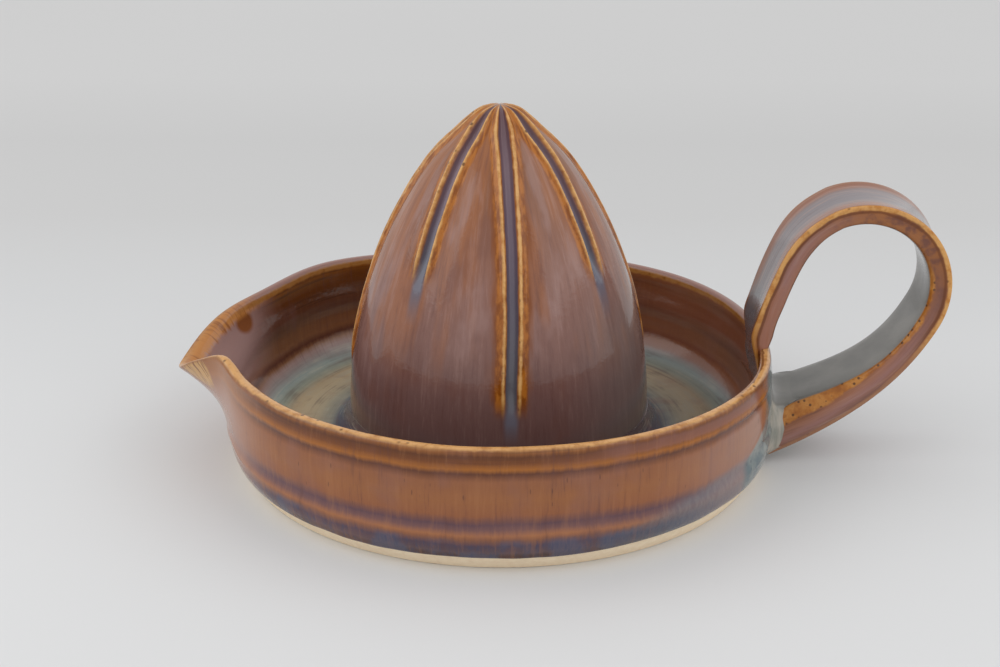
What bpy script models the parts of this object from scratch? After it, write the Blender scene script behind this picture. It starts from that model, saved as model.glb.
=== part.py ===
"""A hand-thrown stoneware citrus juicer, as the pieces that a potter makes and joins.

The dish stands on the XY plane with its axis on Z. The handle is at +X and the pinched
pouring spout at -X. Lengths are in metres and angles in degrees.
"""

import math

import bmesh
import bpy
from mathutils import Matrix, Vector

MM = 0.001
JOINT_GAP = 0.3 * MM           # between two pieces that touch

# Dish: floor, wall and lip
FOOT_RADIUS = 63.0 * MM
FOOT_FLARE = 3.9 * MM          # the wall stands out this far past the foot
FOOT_HEIGHT = 8.0 * MM         # the trimmed bevel from the foot up to the wall
WALL_RADIUS = FOOT_RADIUS + FOOT_FLARE
RIM_HEIGHT = 29.5 * MM
FLOOR_THICKNESS = 6.5 * MM
WALL_THICKNESS = 4.0 * MM
LIP_THICKNESS = 3.3 * MM
LIP_INSET = 0.1 * MM           # the wall leans in this much towards the lip
INNER_CORNER_RADIUS = 9.0 * MM
THROWING_RIDGE_HEIGHT = 10.5 * MM
THROWING_GROOVE_HEIGHT = 13.8 * MM
RIM_GROOVE_HEIGHT = 23.6 * MM
THROWING_RELIEF = 0.35 * MM    # how far the ridge stands out and the grooves go in
THROWING_LINE_WIDTH = 2.4 * MM
VENT_DIAMETER = 3.2 * MM       # kiln vent through the floor, under the reamer
VENT_OFFSET = 14.0 * MM

# Spout, pinched out of the wall
SPOUT_REACH = 13.6 * MM
SPOUT_DROP = 7.9 * MM
SPOUT_HALF_ANGLE = 14.0
SPOUT_CURVE = 1.84             # 2 falls off like a bell, and less gives a sharper beak
SPOUT_NOTCH_ANGLE = 8.5
SPOUT_ROOT_HEIGHT = 4.0 * MM
NEAR_SHOULDER_RISE = 2.5 * MM
NEAR_SHOULDER_ANGLE = 18.0
NEAR_SHOULDER_WIDTH = 5.0
FAR_SHOULDER_RISE = 3.9 * MM
FAR_SHOULDER_ANGLE = 40.0
FAR_SHOULDER_WIDTH = 30.0
BACK_RIM_RISE = 0.8 * MM       # the rim is a little higher beside the handle, at the back
BACK_RIM_ANGLE = 52.0
BACK_RIM_WIDTH = 28.0

# Reamer
REAMER_HEIGHT = 86.9 * MM      # above the table
REAMER_RADIUS = 37.0 * MM
REAMER_WIDEST_HEIGHT = 10.0 * MM
REAMER_TIP_RADIUS = 13.7 * MM
REAMER_WALL = 4.5 * MM
FLUTE_PAIRS = 4                # each pair is one long and one short flute
FLUTE_START_ANGLE = 6.0
FLUTE_WIDTH = 3.0 * MM
FLUTE_DEPTH = 1.5 * MM
FLUTE_RIDGE_WIDTH = 2.0 * MM
FLUTE_RIDGE_HEIGHT = 0.8 * MM
FLUTE_RIDGE_FOOT = 0.6 * MM    # the ridge fades out this far past its width
FLUTE_CROWDING = 0.42          # towards the tip, half a flute is at most this share of the pitch
LONG_FLUTE_END = 20.5 * MM     # the height at which a long flute ends
SHORT_FLUTE_END = 48.0 * MM
FLUTE_RUN_OUT = 6.0 * MM       # the length over which a flute fades out
REAMER_OFFSET = 0.4 * MM       # it was stuck down this much off centre, towards the spout
REAMER_COIL_SIZE = 6.0 * MM
REAMER_COIL_EDGE = 0.7 * MM    # the coil is smeared out to this thickness at its edges

# Handle, a pulled strap
STRAP_WIDTH = 19.0 * MM        # across its outer face
STRAP_TAPER = 1.0 * MM         # each side leans in this much towards the inner face
STRAP_THICKNESS = 5.5 * MM
STRAP_EDGE_RADIUS = 1.7 * MM
STRAP_EDGE_LIMIT = 0.45        # where the strap is thin, its edges round this share of it
STRAP_DISHING = 0.5 * MM       # hollow along the strap's outer face
STRAP_SKEW = 2.8               # the strap's far edge sits a little higher and further right
STRAP_ROOT_THICKNESS = 11.2 * MM
STRAP_ROOT_LENGTH = 34.0 * MM  # along X, from the wall to where the strap is even
STRAP_ROOT_WIDTH = 21.0 * MM
LOOP_RADIUS = 18.4 * MM        # to the middle of the strap
LOOP_REACH = 19.4 * MM         # from the wall to the loop's centre
LOOP_RISE = 15.3 * MM          # from the rim's level to the loop's centre
LOOP_START_ANGLE = 158.0
LOOP_END_ANGLE = -28.0
HANDLE_PULL = 1.3 * MM         # how far the handle draws the rim inwards
HANDLE_PULL_ANGLE = 22.0
LAP_LENGTH = 10.0 * MM         # the smeared end below the rim, inside the dish
LAP_THICKNESS = 1.5 * MM
LAP_PULL = 16.0 * MM           # how stiffly the lap runs up before it bends over the rim
LAP_FADE = 0.7                 # share of the upper leg over which the lap fills out
LOWER_ROOT_HEIGHT = 7.1 * MM
LOWER_ROOT_SLOPE = 25.0
LOWER_ROOT_BEDDING = 0.6       # share of the wall that the strap's end is drawn into, then cut
HANDLE_COIL_LENGTH = 3.6 * MM
HANDLE_COIL_FLARE = 3.0 * MM
HANDLE_COIL_CURVE = 1.8        # how hollow the flare is: 1 is a straight bevel
HANDLE_COIL_LIP = 0.9 * MM
HANDLE_COIL_BOTTOM = 1.2 * MM  # the coil stays this far above the table

# How finely the surfaces are divided
ROUND_STEPS = 60
SPOUT_STEPS = 32
SPOUT_SECTOR = 90.0
FOOT_STEPS = 4
ARC_STEPS = 6
REAMER_RINGS = 17
DOME_STEPS = 5
COLUMNS_BETWEEN_FLUTES = 2
HOLLOW_RINGS = 12
HOLLOW_STEPS = 40
VENT_STEPS = 16
COIL_RINGS = 7
STRAP_RINGS = 40
STRAP_CORNER_STEPS = 3
MERGE_DISTANCE = 0.01 * MM

AMBER_GLAZE = (0.33, 0.13, 0.05, 1.0)
MAUVE_GLAZE = (0.27, 0.13, 0.10, 1.0)
POOLED_GLAZE = (0.16, 0.20, 0.22, 1.0)
GLAZE_ROUGHNESS = 0.18
SHARP_ANGLE = 35.0


def clear_scene():
    for thing in list(bpy.data.objects):
        bpy.data.objects.remove(thing, do_unlink=True)


def glaze(name, colour):
    material = bpy.data.materials.new(name)
    material.use_nodes = True
    shader = material.node_tree.nodes["Principled BSDF"]
    shader.inputs["Base Color"].default_value = colour
    shader.inputs["Roughness"].default_value = GLAZE_ROUGHNESS
    shader.inputs["Metallic"].default_value = 0.0
    return material


def add_object(name, builder, material=None):
    """Turn a bmesh into a named object with outward faces. One with no material is a cutter."""
    bmesh.ops.recalc_face_normals(builder, faces=builder.faces)
    mesh = bpy.data.meshes.new(name)
    builder.to_mesh(mesh)
    builder.free()
    item = bpy.data.objects.new(name, mesh)
    bpy.context.scene.collection.objects.link(item)
    if material is None:
        item.hide_render = True
        item.display_type = "WIRE"
    else:
        mesh.materials.append(material)
        mesh.shade_smooth()
        mesh.set_sharp_from_angle(angle=math.radians(SHARP_ANGLE))
    return item


def cut(item, cutter):
    modifier = item.modifiers.new("cut_" + cutter.name, "BOOLEAN")
    modifier.operation = "DIFFERENCE"
    modifier.object = cutter


def bump(distance, width):
    """A smooth hump: 1 at no distance, near 0 past twice the width."""
    return math.exp(-((distance / width) ** 2))


def smooth_step(value):
    value = min(1.0, max(0.0, value))
    return value * value * (3.0 - 2.0 * value)


def arc(centre, radius, start, end, steps):
    """Points on an arc in a plane, both ends included."""
    points = []
    for step in range(steps + 1):
        angle = math.radians(start + (end - start) * step / steps)
        points.append((centre[0] + radius * math.cos(angle), centre[1] + radius * math.sin(angle)))
    return points


def bezier(start, start_pull, end_pull, end, steps):
    points = []
    for step in range(steps + 1):
        t = step / steps
        s = 1.0 - t
        points.append(
            start * s ** 3 + start_pull * 3 * s * s * t + end_pull * 3 * s * t * t + end * t ** 3
        )
    return points


def offset_outline(points, distance):
    """Move an open outline to its right, as seen along it, keeping its ends on the axis."""
    moved = []
    for index, (radius, height) in enumerate(points):
        before = points[max(index - 1, 0)]
        after = points[min(index + 1, len(points) - 1)]
        along = Vector((after[0] - before[0], after[1] - before[1])).normalized()
        side = Vector((along.y, -along.x)) * distance
        on_axis = radius == 0.0
        moved.append((0.0 if on_axis else radius + side.x, height + side.y))
    return moved


def lathe(outline, sectors):
    """Spin an outline of (radius, height) points round Z. A sector is (degrees, steps)."""
    builder = bmesh.new()
    points = [builder.verts.new((-radius, 0.0, height)) for radius, height in outline]
    profile = points + [builder.edges.new(pair) for pair in zip(points, points[1:])]
    for degrees, steps in sectors:
        turned = bmesh.ops.spin(
            builder,
            geom=profile,
            cent=(0, 0, 0),
            axis=(0, 0, 1),
            angle=math.radians(degrees),
            steps=steps,
        )
        profile = turned["geom_last"]
    bmesh.ops.remove_doubles(builder, verts=builder.verts, dist=MERGE_DISTANCE)
    return builder


def loft(rings):
    """Skin a row of rings with equal numbers of points, and cap both ends."""
    builder = bmesh.new()
    rows = [[builder.verts.new(point) for point in ring] for ring in rings]
    count = len(rows[0])
    for low, high in zip(rows, rows[1:]):
        for index in range(count):
            following = (index + 1) % count
            builder.faces.new((low[index], low[following], high[following], high[index]))
    builder.faces.new(rows[0][::-1])
    builder.faces.new(rows[-1])
    return builder


def dish_outline():
    """The dish's section, from the middle of its underside, up the wall and in to the floor."""
    points = [(0.0, 0.0)]
    for step in range(FOOT_STEPS + 1):
        share = step / FOOT_STEPS
        swell = math.sin(share * math.pi / 2)
        points.append((FOOT_RADIUS + FOOT_FLARE * swell, FOOT_HEIGHT * share))
    half_line = THROWING_LINE_WIDTH / 2
    lines = (
        (THROWING_RIDGE_HEIGHT, THROWING_RELIEF),
        (THROWING_GROOVE_HEIGHT, -THROWING_RELIEF),
        (RIM_GROOVE_HEIGHT, -THROWING_RELIEF),
    )
    for height, relief in lines:
        points.append((WALL_RADIUS, height - half_line))
        points.append((WALL_RADIUS + relief, height))
        points.append((WALL_RADIUS, height + half_line))
    lip_radius = LIP_THICKNESS / 2
    lip_centre = (WALL_RADIUS - LIP_INSET - lip_radius, RIM_HEIGHT - lip_radius)
    points += arc(lip_centre, lip_radius, 0, 180, ARC_STEPS)
    corner_centre = (
        WALL_RADIUS - WALL_THICKNESS - INNER_CORNER_RADIUS,
        FLOOR_THICKNESS + INNER_CORNER_RADIUS,
    )
    points += arc(corner_centre, INNER_CORNER_RADIUS, 0, -90, ARC_STEPS)
    points.append((0.0, FLOOR_THICKNESS))
    return points


def press_by_hand(point):
    """Pull out the spout, raise its shoulders, and draw the rim in at the handle."""
    radius = math.hypot(point.x, point.y)
    share = (point.z - SPOUT_ROOT_HEIGHT) / (RIM_HEIGHT - SPOUT_ROOT_HEIGHT)
    flat_floor = (REAMER_RADIUS + FOOT_RADIUS) / 2
    wall_only = smooth_step((radius - flat_floor) / (FOOT_RADIUS - flat_floor))
    share = min(1.0, max(0.0, share)) * wall_only
    if share == 0.0:
        return point
    from_spout = math.degrees(math.atan2(point.y, -point.x))
    turn = abs(from_spout)
    outward = SPOUT_REACH * math.exp(-((turn / SPOUT_HALF_ANGLE) ** SPOUT_CURVE))
    upward = -SPOUT_DROP * bump(turn, SPOUT_NOTCH_ANGLE)
    if from_spout < 0:
        upward += NEAR_SHOULDER_RISE * bump(turn - NEAR_SHOULDER_ANGLE, NEAR_SHOULDER_WIDTH)
    else:
        beside_notch = 1.0 - bump(turn, SPOUT_NOTCH_ANGLE)
        far_rise = bump(turn - FAR_SHOULDER_ANGLE, FAR_SHOULDER_WIDTH)
        upward += FAR_SHOULDER_RISE * far_rise * beside_notch
        upward += BACK_RIM_RISE * bump(180.0 - turn - BACK_RIM_ANGLE, BACK_RIM_WIDTH)
    outward -= HANDLE_PULL * bump(180.0 - turn, HANDLE_PULL_ANGLE)
    scale = (radius + outward * share ** 2) / radius
    return Vector((point.x * scale, point.y * scale, point.z + upward * share))


def dish_form(growth=0.0):
    """The dish, or with a growth the space that its neighbours keep clear of."""
    outline = offset_outline(dish_outline(), growth) if growth else dish_outline()
    half = SPOUT_SECTOR / 2
    rest = 360.0 - SPOUT_SECTOR
    sectors = ((half, SPOUT_STEPS // 2), (rest, ROUND_STEPS), (half, SPOUT_STEPS // 2))
    builder = lathe(outline, sectors)
    for vertex in builder.verts:
        vertex.co = press_by_hand(vertex.co)
    return builder


def make_dish(material):
    dish = add_object("dish", dish_form(), material)
    vent = bmesh.new()
    bmesh.ops.create_cone(
        vent,
        cap_ends=True,
        segments=VENT_STEPS,
        radius1=VENT_DIAMETER / 2,
        radius2=VENT_DIAMETER / 2,
        depth=FLOOR_THICKNESS * 2,
        matrix=Matrix.Translation((VENT_OFFSET, 0.0, FLOOR_THICKNESS / 2)),
    )
    cut(dish, add_object("vent_cutter", vent))


def reamer_outline(inset, rings):
    """The reamer's ogive and its domed tip as (radius, height, slope) from base to tip."""
    dome = REAMER_TIP_RADIUS
    dome_centre = REAMER_HEIGHT - dome
    rise = dome_centre - REAMER_WIDEST_HEIGHT
    sweep = (rise ** 2 + REAMER_RADIUS ** 2 - dome ** 2) / (2 * (REAMER_RADIUS - dome))
    centre = REAMER_RADIUS - sweep
    base = FLOOR_THICKNESS + JOINT_GAP
    start = math.asin((base - REAMER_WIDEST_HEIGHT) / (sweep - inset))
    tangent = math.atan2(rise, -centre)
    points = []
    for step in range(rings + 1):
        slope = start + (tangent - start) * step / rings
        along = sweep - inset
        points.append((
            centre + along * math.cos(slope),
            REAMER_WIDEST_HEIGHT + along * math.sin(slope),
            slope,
        ))
    for step in range(1, DOME_STEPS):
        slope = tangent + (math.pi / 2 - tangent) * step / DOME_STEPS
        reach = dome - inset
        points.append((reach * math.cos(slope), dome_centre + reach * math.sin(slope), slope))
    return points


def flute_relief(across, height, end):
    """How far the surface moves out: a channel between two raised ridges."""
    strength = smooth_step((height - end) / FLUTE_RUN_OUT)
    channel = -FLUTE_DEPTH * bump(across, FLUTE_WIDTH / 2)
    ridge_middle = (FLUTE_WIDTH + FLUTE_RIDGE_WIDTH) / 2
    ridge = FLUTE_RIDGE_HEIGHT * bump(abs(across) - ridge_middle, FLUTE_RIDGE_WIDTH / 2)
    return strength * (channel + ridge)


def reamer_ring(radius, height, slope):
    """One level of the reamer, with points where its flutes and their ridges turn."""
    half = FLUTE_WIDTH / 2
    edge = half + FLUTE_RIDGE_WIDTH + FLUTE_RIDGE_FOOT
    side = (half / 2, half, half + FLUTE_RIDGE_WIDTH / 2, half + FLUTE_RIDGE_WIDTH, edge)
    offsets = [-value for value in reversed(side)] + [0.0] + list(side)
    pitch = math.pi / FLUTE_PAIRS
    squeeze = min(1.0, FLUTE_CROWDING * pitch * radius / edge)
    between = pitch - 2 * edge * squeeze / radius
    ring = []
    for flute in range(FLUTE_PAIRS * 2):
        middle = math.radians(FLUTE_START_ANGLE) + flute * pitch
        end = SHORT_FLUTE_END if flute % 2 else LONG_FLUTE_END
        columns = []
        for offset in offsets:
            move = flute_relief(offset, height, end) * squeeze
            columns.append((middle + offset * squeeze / radius, move))
        for column in range(1, COLUMNS_BETWEEN_FLUTES + 1):
            share = column / (COLUMNS_BETWEEN_FLUTES + 1)
            columns.append((middle + edge * squeeze / radius + between * share, 0.0))
        for angle, move in columns:
            reach = radius + move * math.cos(slope)
            level = height + move * math.sin(slope)
            ring.append((reach * math.cos(angle), reach * math.sin(angle), level))
    return ring


def make_reamer(material):
    outline = reamer_outline(0.0, REAMER_RINGS)
    reamer = add_object("reamer", loft([reamer_ring(*level) for level in outline]), material)
    inner = [(radius, height) for radius, height, _ in reamer_outline(REAMER_WALL, HOLLOW_RINGS)]
    open_end = inner[0][1] - REAMER_WALL
    hollow = [(0.0, open_end), (inner[0][0], open_end)] + inner
    hollow.append((0.0, REAMER_HEIGHT - REAMER_WALL))
    cutter = add_object("reamer_hollow_cutter", lathe(hollow, ((360.0, HOLLOW_STEPS),)))
    cut(reamer, cutter)
    reamer.location.x = cutter.location.x = -REAMER_OFFSET


def make_reamer_coil(material):
    """A coil of clay pressed into the corner between the reamer and the floor."""
    floor = FLOOR_THICKNESS + JOINT_GAP
    top = floor + REAMER_COIL_SIZE
    foot = [level for level in reamer_outline(0.0, REAMER_RINGS * 2) if level[1] < top]
    inner = [(radius + JOINT_GAP, height) for radius, height, _ in foot]
    outer_radius = inner[0][0] + REAMER_COIL_SIZE
    hollow = REAMER_COIL_SIZE - REAMER_COIL_EDGE
    curve = arc((outer_radius, top), hollow, 270, 180, ARC_STEPS)
    outline = [inner[0], (outer_radius, floor)] + curve + inner[::-1]
    builder = lathe(outline, ((360.0, ROUND_STEPS),))
    coil = add_object("reamer_luting_coil", builder, material)
    coil.location.x = -REAMER_OFFSET


def handle_path():
    """The strap's middle line in the XZ plane, from the lap inside the rim to the lower root."""
    centre = Vector((WALL_RADIUS + LOOP_REACH, RIM_HEIGHT + LOOP_RISE))
    loop = [Vector(point) for point in
            arc(centre, LOOP_RADIUS, LOOP_START_ANGLE, LOOP_END_ANGLE, STRAP_RINGS // 2)]
    inner_rim = WALL_RADIUS - LIP_INSET - LIP_THICKNESS - HANDLE_PULL
    lap_end = Vector((inner_rim, RIM_HEIGHT - LAP_LENGTH))
    leave = (loop[0] - loop[1]).normalized()
    upper_pull = lap_end + Vector((0.0, LAP_PULL))
    upper = bezier(lap_end, upper_pull, loop[0] + leave * LAP_LENGTH, loop[0], STRAP_RINGS // 4)
    slope = math.radians(LOWER_ROOT_SLOPE)
    root = Vector((WALL_RADIUS - WALL_THICKNESS * LOWER_ROOT_BEDDING, LOWER_ROOT_HEIGHT))
    arrive = Vector((math.cos(slope), math.sin(slope)))
    depart = (loop[-1] - loop[-2]).normalized()
    lower = bezier(
        loop[-1],
        loop[-1] + depart * LOOP_RADIUS,
        root + arrive * LOOP_RADIUS,
        root,
        STRAP_RINGS // 4,
    )
    return upper[:-1] + loop + lower[1:]


def strap_section(width, thickness, dishing):
    """A rounded strap section. x runs across the strap, and y points away from the loop."""
    edge = min(STRAP_EDGE_RADIUS, thickness * STRAP_EDGE_LIMIT)
    rise = thickness / 2 - edge
    points = []
    for sign_x, sign_y, start in ((1, 1, 0), (-1, 1, 90), (-1, -1, 180), (1, -1, 270)):
        reach = width / 2 - edge - (STRAP_TAPER if sign_y < 0 else 0.0)
        corner = (reach * sign_x, rise * sign_y)
        points += arc(corner, edge, start, start + 90, STRAP_CORNER_STEPS)
        if start == 0:
            for share in (0.5, 0.0, -0.5):
                hollow = dishing * (1.0 - share * share)
                points.append((reach * share, thickness / 2 - hollow))
        if start == 180:
            points.append((0.0, -thickness / 2))
    return points


def root_swell(x):
    """The strap thickens and widens towards its lower root: 1 at the wall, 0 past the root."""
    return smooth_step(1.0 - (x - WALL_RADIUS) / STRAP_ROOT_LENGTH)


def strap_rings(growth):
    """Section rings along the handle's path, grown by a clearance."""
    path = handle_path()
    leg_steps = STRAP_RINGS // 4
    lap_steps = leg_steps * LAP_FADE
    rings = []
    for index in range(len(path)):
        before = path[max(index - 1, 0)]
        after = path[min(index + 1, len(path) - 1)]
        along = (after - before).normalized()
        outward = Vector((-along.y, along.x))
        lap = smooth_step(index / lap_steps)
        thickness = LAP_THICKNESS * 2 + (STRAP_THICKNESS - LAP_THICKNESS * 2) * lap
        on_lower_leg = index >= len(path) - leg_steps
        swell = root_swell(path[index].x) if on_lower_leg else 0.0
        thickness += (STRAP_ROOT_THICKNESS - STRAP_THICKNESS) * swell
        width = STRAP_WIDTH + (STRAP_ROOT_WIDTH - STRAP_WIDTH) * swell
        section = strap_section(width + 2 * growth, thickness + 2 * growth, STRAP_DISHING * lap)
        lean = math.tan(math.radians(STRAP_SKEW)) * lap
        ring = []
        for across, away in section:
            ring.append((
                path[index].x + outward.x * away + across * lean,
                across,
                path[index].y + outward.y * away + across * lean,
            ))
        rings.append(ring)
    return rings


def make_handle(material, dish_clearance):
    handle = add_object("handle", loft(strap_rings(0.0)), material)
    cut(handle, dish_clearance)


def collar_ring(x, flare, leg):
    """An upright section of the collar round the strap's lower leg, at one X."""
    after, before = next(pair for pair in zip(leg, leg[1:]) if pair[1].x <= x <= pair[0].x)
    share = (x - before.x) / (after.x - before.x)
    middle = before.lerp(after, share)
    upright = (after - before).length / (after.x - before.x)
    swell = root_swell(x)
    thickness = STRAP_THICKNESS + (STRAP_ROOT_THICKNESS - STRAP_THICKNESS) * swell
    width = STRAP_WIDTH + (STRAP_ROOT_WIDTH - STRAP_WIDTH) * swell
    extra = 2 * (HANDLE_COIL_LIP + flare)
    height = thickness * upright + extra
    squash = min(1.0, (middle.y - HANDLE_COIL_BOTTOM) / (height / 2))
    ring = []
    for across, up in strap_section(width + extra, height, 0.0):
        ring.append((x, across, middle.y + up * (squash if up < 0 else 1.0)))
    return ring


def make_handle_coil(material, dish_clearance):
    """A collar of clay worked round the strap's lower root, cut to the wall and the strap."""
    leg = handle_path()[-1 - STRAP_RINGS // 4:]
    inside_wall = WALL_RADIUS - WALL_THICKNESS / 2
    outside = WALL_RADIUS + HANDLE_COIL_LENGTH
    rings = []
    for step in range(COIL_RINGS + 1):
        x = inside_wall + (outside - inside_wall) * step / COIL_RINGS
        from_end = min(1.0, (outside - x) / HANDLE_COIL_LENGTH)
        rings.append(collar_ring(x, HANDLE_COIL_FLARE * from_end ** HANDLE_COIL_CURVE, leg))
    coil = add_object("handle_luting_coil", loft(rings), material)
    cut(coil, dish_clearance)
    cut(coil, add_object("strap_clearance", loft(strap_rings(JOINT_GAP))))


clear_scene()
make_dish(glaze("dish_glaze", AMBER_GLAZE))
make_reamer(glaze("reamer_glaze", MAUVE_GLAZE))
make_reamer_coil(glaze("reamer_coil_glaze", POOLED_GLAZE))
clearance = add_object("dish_clearance", dish_form(JOINT_GAP))
make_handle(glaze("handle_glaze", MAUVE_GLAZE), clearance)
make_handle_coil(glaze("handle_coil_glaze", POOLED_GLAZE), clearance)
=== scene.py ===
import math

import bpy
from mathutils import Matrix, Vector, noise


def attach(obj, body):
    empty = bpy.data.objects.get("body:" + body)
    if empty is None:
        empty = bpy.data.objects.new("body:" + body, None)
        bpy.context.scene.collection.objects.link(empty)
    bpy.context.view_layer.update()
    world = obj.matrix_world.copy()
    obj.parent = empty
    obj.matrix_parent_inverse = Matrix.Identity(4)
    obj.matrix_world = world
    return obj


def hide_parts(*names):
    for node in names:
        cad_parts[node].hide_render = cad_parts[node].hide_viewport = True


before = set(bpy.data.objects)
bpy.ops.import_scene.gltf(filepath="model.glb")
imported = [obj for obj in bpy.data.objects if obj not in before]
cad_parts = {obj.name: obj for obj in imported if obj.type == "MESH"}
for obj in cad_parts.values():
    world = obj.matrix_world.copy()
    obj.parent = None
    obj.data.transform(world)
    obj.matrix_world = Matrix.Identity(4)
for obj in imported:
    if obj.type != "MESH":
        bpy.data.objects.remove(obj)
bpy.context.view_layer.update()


# The dish: one lump of stoneware thrown on the wheel, floor, wall and lip together. The spout is
# pinched out of the soft rim, the wall is drawn in a little at the handle, and the foot is bare.

MM = 0.001
FOOT_RADIUS = 63.0 * MM
FOOT_FLARE = 3.9 * MM
FOOT_HEIGHT = 8.0 * MM
FOOT_ROUNDING = 0.5 * MM
WALL_RADIUS = FOOT_RADIUS + FOOT_FLARE
RIM_HEIGHT = 29.5 * MM
WALL_THICKNESS = 4.0 * MM
LIP_THICKNESS = 2.8 * MM
LIP_INSET = 0.1 * MM
LEAN_START = 23.2 * MM         # the wall leans in above this height
LEAN_RISE = RIM_HEIGHT * 0.15
LIP_SQUARENESS = 2.5           # 2 is a round lip, and more is flatter on top
FLOOR_THICKNESS = 6.5 * MM
INNER_CORNER_RADIUS = 9.0 * MM
CORNER_TOP = FLOOR_THICKNESS + INNER_CORNER_RADIUS
FLOOR_RADIUS = WALL_RADIUS - WALL_THICKNESS - INNER_CORNER_RADIUS
GLAZE_LINE = 3.6 * MM          # the glaze stops this far above the table
CLAY_RISE = (0.7 * MM, 42.0, 26.0)       # it is wiped higher near the handle
GLAZE_THICKNESS = 0.25 * MM
NOSE_RISE = 0.35 * MM          # the glaze ends in a rounded nose
NOSE_ROW = 0.07 * MM           # how far apart the rows of points are at the nose
OUTER_ROW = 0.35 * MM          # and up the wall, at the lip and on the floor
INNER_ROW = 0.42 * MM
LIP_ROW = 0.4 * MM
FLOOR_ROW = 0.5 * MM
COARSE_ROW = 3.5 * MM
FINE_FLOOR = 43.0 * MM         # the floor's rows are coarse under the reamer, within this radius
THROWING_LINES = (             # relief, height and width of each ridge and groove outside
    (0.32 * MM, 9.5 * MM, 1.2 * MM),
    (-0.28 * MM, 12.0 * MM, 1.5 * MM),
    (-0.24 * MM, 23.2 * MM, 1.2 * MM),
    (0.12 * MM, 24.8 * MM, 0.7 * MM),
    (0.06 * MM, 18.2 * MM, 0.8 * MM),
)
HOLLOW_DEPTH = 0.34 * MM       # the finger's hollow inside the wall, under the rim
HOLLOW_HEIGHT = 22.2 * MM
HOLLOW_LENGTH = 10.0 * MM
SPOUT_REACH = 13.6 * MM
SPOUT_DROP = 7.9 * MM
SPOUT_HALF_ANGLE = 14.0
SPOUT_CURVE = 1.84
SPOUT_NOTCH_ANGLE = 8.5
SPOUT_ROOT_HEIGHT = 4.0 * MM
PULL_START = 50.0 * MM         # the fingers move the clay from this radius outwards
PULL_FADE = 13.0 * MM
SMOOTHED_ANGLE = 36.0          # the thumbs smooth the throwing lines away this far round
NEAR_SHOULDER = (2.5 * MM, 18.0, 5.0)    # rise, then its place and width in degrees
FAR_SHOULDER = (3.9 * MM, 40.0, 30.0)
BACK_RIM = (0.8 * MM, 52.0, 28.0)
HANDLE_PULL = (1.3 * MM, 0.0, 22.0)
HAND_WOBBLE = 0.15 * MM
SPIRAL_START = 34.0 * MM       # this far down from the rim's crest
SPIRAL_FADE = 4.0 * MM
SPIRAL_RISE = 0.12 * MM
SPIRAL_PITCH = 5.5 * MM
DISH_COLUMNS = 420
COLUMN_CROWDING = 0.4          # the columns stand closer at the spout and at the handle


def deselect_all():
    for item in bpy.context.selected_objects:
        item.select_set(False)


def bump(distance, width):
    """A smooth hump: 1 at no distance, near 0 past twice the width."""
    return math.exp(-((distance / width) ** 2))


def hump(shape, place):
    """A hump of a given height, middle and width, at one place."""
    height, middle, width = shape
    return height * bump(place - middle, width)


def smooth_step(value):
    value = min(1.0, max(0.0, value))
    return value * value * (3.0 - 2.0 * value)


def lerp(first, second, share):
    return first + (second - first) * share


def turn_on_wheel(name, outline, columns):
    """Extrude a point along an outline of (radius, height, mark), and turn it. Keep the marks."""
    deselect_all()
    bpy.ops.mesh.primitive_plane_add(size=MM)
    piece = bpy.context.object
    piece.name = piece.data.name = name
    bpy.ops.object.mode_set(mode="EDIT")
    bpy.ops.mesh.merge(type="CENTER")
    radius, height = outline[0][:2]
    bpy.ops.transform.translate(value=(-radius, 0.0, height))
    for next_radius, next_height, _ in outline[1:]:
        step = (radius - next_radius, 0.0, next_height - height)
        bpy.ops.mesh.extrude_region_move(TRANSFORM_OT_translate={"value": step})
        radius, height = next_radius, next_height
    bpy.ops.object.mode_set(mode="OBJECT")
    store(piece, "mark", [mark for _, _, mark in outline])
    wheel = piece.modifiers.new("wheel", "SCREW")
    wheel.steps = wheel.render_steps = columns
    wheel.use_merge_vertices = True
    wheel.merge_threshold = 0.002 * MM
    bpy.ops.object.modifier_apply(modifier=wheel.name)
    bpy.ops.object.mode_set(mode="EDIT")
    bpy.ops.mesh.select_all(action="SELECT")
    bpy.ops.mesh.remove_doubles(threshold=0.002 * MM)
    bpy.ops.mesh.normals_make_consistent(inside=False)
    bpy.ops.object.mode_set(mode="OBJECT")
    layer = piece.data.attributes["mark"]
    kept = [point.value for point in layer.data]
    piece.data.attributes.remove(layer)
    return piece, kept


def store(piece, name, values):
    """Keep one number for each vertex, for the glaze to read."""
    layer = piece.data.attributes.new(name, "FLOAT", "POINT")
    layer.data.foreach_set("value", values)


def flow_of(around, reach, down):
    """A place in the glaze's own space, in mm: round the pot in two numbers, and down it."""
    return (reach / MM * math.cos(around), reach / MM * math.sin(around), down / MM)


def store_flow(piece, rows):
    """Keep the glaze's own space for each vertex, so that streaks run down every surface."""
    layer = piece.data.attributes.new("flow", "FLOAT_VECTOR", "POINT")
    layer.data.foreach_set("vector", [value for row in rows for value in row])


def finish_piece(piece, node, glazes):
    piece.data.materials.clear()
    for material in glazes:
        piece.data.materials.append(material)
    deselect_all()
    bpy.context.view_layer.objects.active = piece
    piece.select_set(True)
    bpy.ops.object.shade_smooth_by_angle(angle=math.radians(55.0))
    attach(piece, "root")
    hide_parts(node)


def outer_radius(height):
    """The dish's outer surface, with its throwing lines."""
    swell = math.sin(min(1.0, height / FOOT_HEIGHT) * math.pi / 2)
    lean = LIP_INSET * smooth_step((height - LEAN_START) / LEAN_RISE)
    lines = sum(hump(ridge, height) for ridge in THROWING_LINES)
    return FOOT_RADIUS + FOOT_FLARE * swell - lean + lines


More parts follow.
